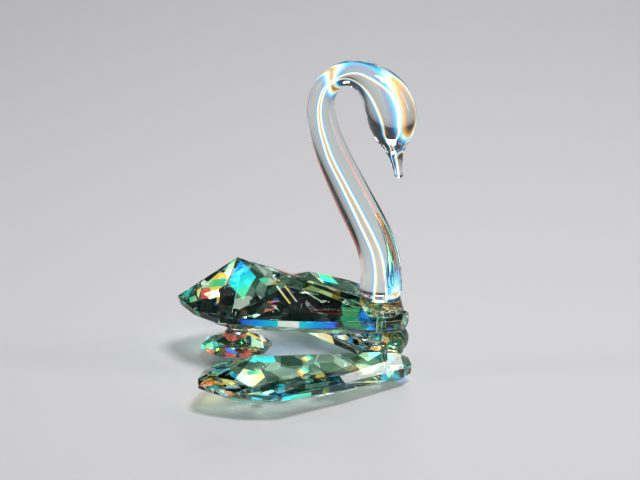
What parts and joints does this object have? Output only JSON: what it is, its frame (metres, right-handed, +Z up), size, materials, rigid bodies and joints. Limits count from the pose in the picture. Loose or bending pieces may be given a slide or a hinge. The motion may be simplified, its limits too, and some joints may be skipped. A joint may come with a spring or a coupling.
{
  "type": "crystal swan figurine",
  "caption": "Swan figurine of faceted clear prisms glued in a fan, with a smooth lampworked glass neck and head, for display on a shelf.",
  "frame": {"origin": "middle of the footprint, on the surface that the swan stands on", "axes": "+Z up; the swan looks along +X, and its left side is +Y"},
  "size_m": [0.0534, 0.081, 0.069],
  "materials": {
    "cut_crystal": "polished, cut facets",
    "lampworked_glass": "fire polished, smooth",
    "clear_glue": "clear cured adhesive with bubbles"
  },
  "bodies": {
    "root": {"right_wing_prism": "cut_crystal", "left_wing_prism": "cut_crystal", "back_prism": "cut_crystal", "foot_bead": "cut_crystal", "neck_and_head": "lampworked_glass", "neck_glue": "clear_glue", "chest_glue": "clear_glue", "foot_glue": "clear_glue"}
  },
  "joints": []
}
